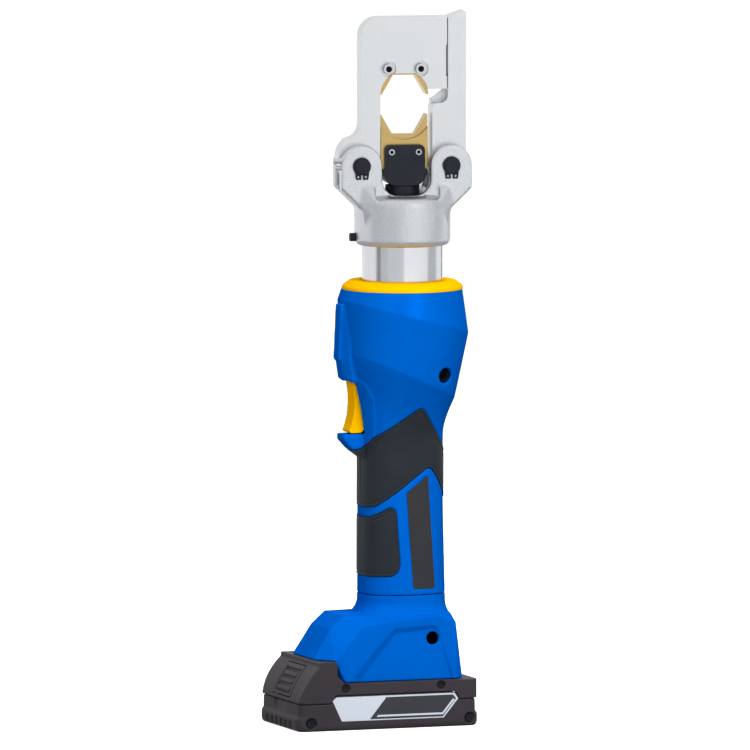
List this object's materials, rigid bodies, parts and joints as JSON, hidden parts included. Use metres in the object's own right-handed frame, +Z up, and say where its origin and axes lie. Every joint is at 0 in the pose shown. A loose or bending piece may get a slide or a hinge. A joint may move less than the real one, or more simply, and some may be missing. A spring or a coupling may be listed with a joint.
{
  "type": "hydraulic crimping tool",
  "caption": "Upright battery-powered hydraulic crimping tool with a pistol-free grip, slide-on battery and a turning head whose hinged jaws hold a pair of hexagon dies.",
  "frame": {"origin": "on the handle's axis, on the underside of the battery that the tool stands on", "axes": "+Z up along the handle to the jaws, -X the trigger side, the shells part at Y = 0"},
  "size_m": [0.1286, 0.082, 0.4561],
  "materials": {
    "housing_plastic": "fine textured moulding",
    "accent_plastic": "satin moulding",
    "grip_rubber": "soft matte",
    "plate_film": "satin film",
    "battery_plastic": "fine textured moulding",
    "plate_metal": "brushed",
    "forged_steel": "plated, satin",
    "turned_alloy": "turned",
    "black_steel": "black oxide",
    "die_gold": "yellow passivated",
    "drive_steel": "machined",
    "inner_rubber": "matte",
    "inner_plastic": "matte",
    "board_green": "satin",
    "contact_brass": "bright",
    "cell_wrap": "wrapped"
  },
  "bodies": {
    "housing": {"left_shell": "housing_plastic", "right_shell": "housing_plastic", "collar_ring": "accent_plastic", "left_upper_grip": "grip_rubber", "right_upper_grip": "grip_rubber", "left_lower_grip": "grip_rubber", "right_lower_grip": "grip_rubber", "name_plates": "plate_film", "left_foot_shell": "housing_plastic", "right_foot_shell": "housing_plastic", "shell_screws": "black_steel", "pump_block": "turned_alloy", "oil_reservoir": "inner_rubber", "oil_line": "turned_alloy", "rotary_seal": "inner_rubber", "ring_gear": "drive_steel", "motor_can": "drive_steel", "motor_magnets": "inner_plastic", "shaft_bearings": "drive_steel", "control_board": "board_green", "terminal_block": "inner_plastic", "terminal_blades": "contact_brass", "trigger_switch": "inner_plastic", "trigger_pin": "drive_steel"},
    "rotor": {"motor_rotor": "drive_steel", "sun_gear": "drive_steel"},
    "carrier": {"planet_carrier": "drive_steel", "eccentric_bearing": "drive_steel"},
    "planet_1": {"planet_gear_1": "drive_steel"},
    "planet_2": {"planet_gear_2": "drive_steel"},
    "planet_3": {"planet_gear_3": "drive_steel"},
    "plunger": {"pump_plunger": "drive_steel"},
    "head": {"cylinder": "turned_alloy", "head_base": "forged_steel", "cylinder_gland": "black_steel", "lock_screw": "black_steel", "arm_pin": "black_steel", "latch_pin": "black_steel", "pin_circlips": "black_steel", "return_spring": "drive_steel"},
    "ram": {"ram": "drive_steel", "piston_seal": "inner_rubber", "die_holder": "black_steel", "lower_die": "die_gold"},
    "lower_pin_left": {"lower_die_pin_left": "forged_steel"},
    "lower_pin_right": {"lower_die_pin_right": "forged_steel"},
    "swing_arm": {"swing_arm": "forged_steel", "upper_die": "die_gold"},
    "upper_pin_left": {"upper_die_pin_left": "forged_steel"},
    "upper_pin_right": {"upper_die_pin_right": "forged_steel"},
    "latch": {"latch_arm": "forged_steel"},
    "trigger": {"trigger": "accent_plastic"},
    "battery": {"battery_lower_case": "battery_plastic", "battery_upper_case": "battery_plastic", "battery_side_plates": "plate_metal", "battery_screws": "black_steel", "battery_cells": "cell_wrap"},
    "button": {"release_button": "battery_plastic"}
  },
  "joints": [
    {"name": "head_swivel", "type": "hinge", "parent": "housing", "child": "head", "pos_m": [0, 0, 0.295], "axis": [0, 0, 1], "range_deg": [-165, 185]},
    {"name": "ram_stroke", "type": "slide", "parent": "head", "child": "ram", "axis": [0, 0, 1], "range_m": [0, 0.0122], "stiffness_N_per_m": 1500, "springref_m": -0.02, "deforming": ["return_spring"]},
    {"name": "arm_open", "type": "hinge", "parent": "head", "child": "swing_arm", "pos_m": [-0.02856, 0.00504, 0.358], "axis": [-0.1736, -0.9848, 0], "range_deg": [0, 95]},
    {"name": "latch_open", "type": "hinge", "parent": "head", "child": "latch", "pos_m": [0.02856, -0.00504, 0.358], "axis": [0.1736, 0.9848, 0], "range_deg": [0, 95]},
    {"name": "upper_pin_left_push", "type": "slide", "parent": "swing_arm", "child": "upper_pin_left", "axis": [0.1736, 0.9848, 0], "range_m": [0, 0.0024], "stiffness_N_per_m": 600, "springref_m": -0.002},
    {"name": "lower_pin_left_push", "type": "slide", "parent": "ram", "child": "lower_pin_left", "axis": [0.1736, 0.9848, 0], "range_m": [0, 0.0024], "stiffness_N_per_m": 400, "springref_m": -0.002},
    {"name": "upper_pin_right_push", "type": "slide", "parent": "swing_arm", "child": "upper_pin_right", "axis": [0.1736, 0.9848, 0], "range_m": [0, 0.0024], "stiffness_N_per_m": 600, "springref_m": -0.002},
    {"name": "lower_pin_right_push", "type": "slide", "parent": "ram", "child": "lower_pin_right", "axis": [0.1736, 0.9848, 0], "range_m": [0, 0.0024], "stiffness_N_per_m": 400, "springref_m": -0.002},
    {"name": "trigger_pull", "type": "hinge", "parent": "housing", "child": "trigger", "pos_m": [-0.0332, 0, 0.2231], "axis": [0, -1, 0], "range_deg": [0, 8], "stiffness_Nm_per_rad": 1.2, "springref_deg": -11.46},
    {"name": "battery_slide", "type": "slide", "parent": "housing", "child": "battery", "axis": [-1, 0, 0], "range_m": [0, 0.11]},
    {"name": "release_button_push", "type": "slide", "parent": "battery", "child": "button", "axis": [1, 0, 0], "range_m": [0, 0.003], "stiffness_N_per_m": 900, "springref_m": -0.003},
    {"name": "motor_spin", "type": "hinge", "parent": "housing", "child": "rotor", "pos_m": [0, 0, 0.12], "axis": [0, 0, 1], "continuous": true},
    {"name": "carrier_spin", "type": "hinge", "parent": "housing", "child": "carrier", "pos_m": [0, 0, 0.165], "axis": [0, 0, 1], "continuous": true},
    {"name": "planet_1_spin", "type": "hinge", "parent": "carrier", "child": "planet_1", "pos_m": [0.01013, 0, 0.157], "axis": [0, 0, 1], "continuous": true},
    {"name": "planet_2_spin", "type": "hinge", "parent": "carrier", "child": "planet_2", "pos_m": [-0.00506, 0.00877, 0.157], "axis": [0, 0, 1], "continuous": true},
    {"name": "planet_3_spin", "type": "hinge", "parent": "carrier", "child": "planet_3", "pos_m": [-0.00506, -0.00877, 0.157], "axis": [0, 0, 1], "continuous": true},
    {"name": "plunger_stroke", "type": "slide", "parent": "housing", "child": "plunger", "axis": [1, 0, 0], "range_m": [0, 0.0024], "stiffness_N_per_m": 2000, "springref_m": -0.002}
  ],
  "couplings": [
    {"joint": "latch_open", "follows": "arm_open", "ratio": 1},
    {"joint": "carrier_spin", "follows": "motor_spin", "ratio": 0.22222},
    {"joint": "planet_1_spin", "follows": "motor_spin", "ratio": -0.62222},
    {"joint": "planet_2_spin", "follows": "motor_spin", "ratio": -0.62222},
    {"joint": "planet_3_spin", "follows": "motor_spin", "ratio": -0.62222}
  ]
}
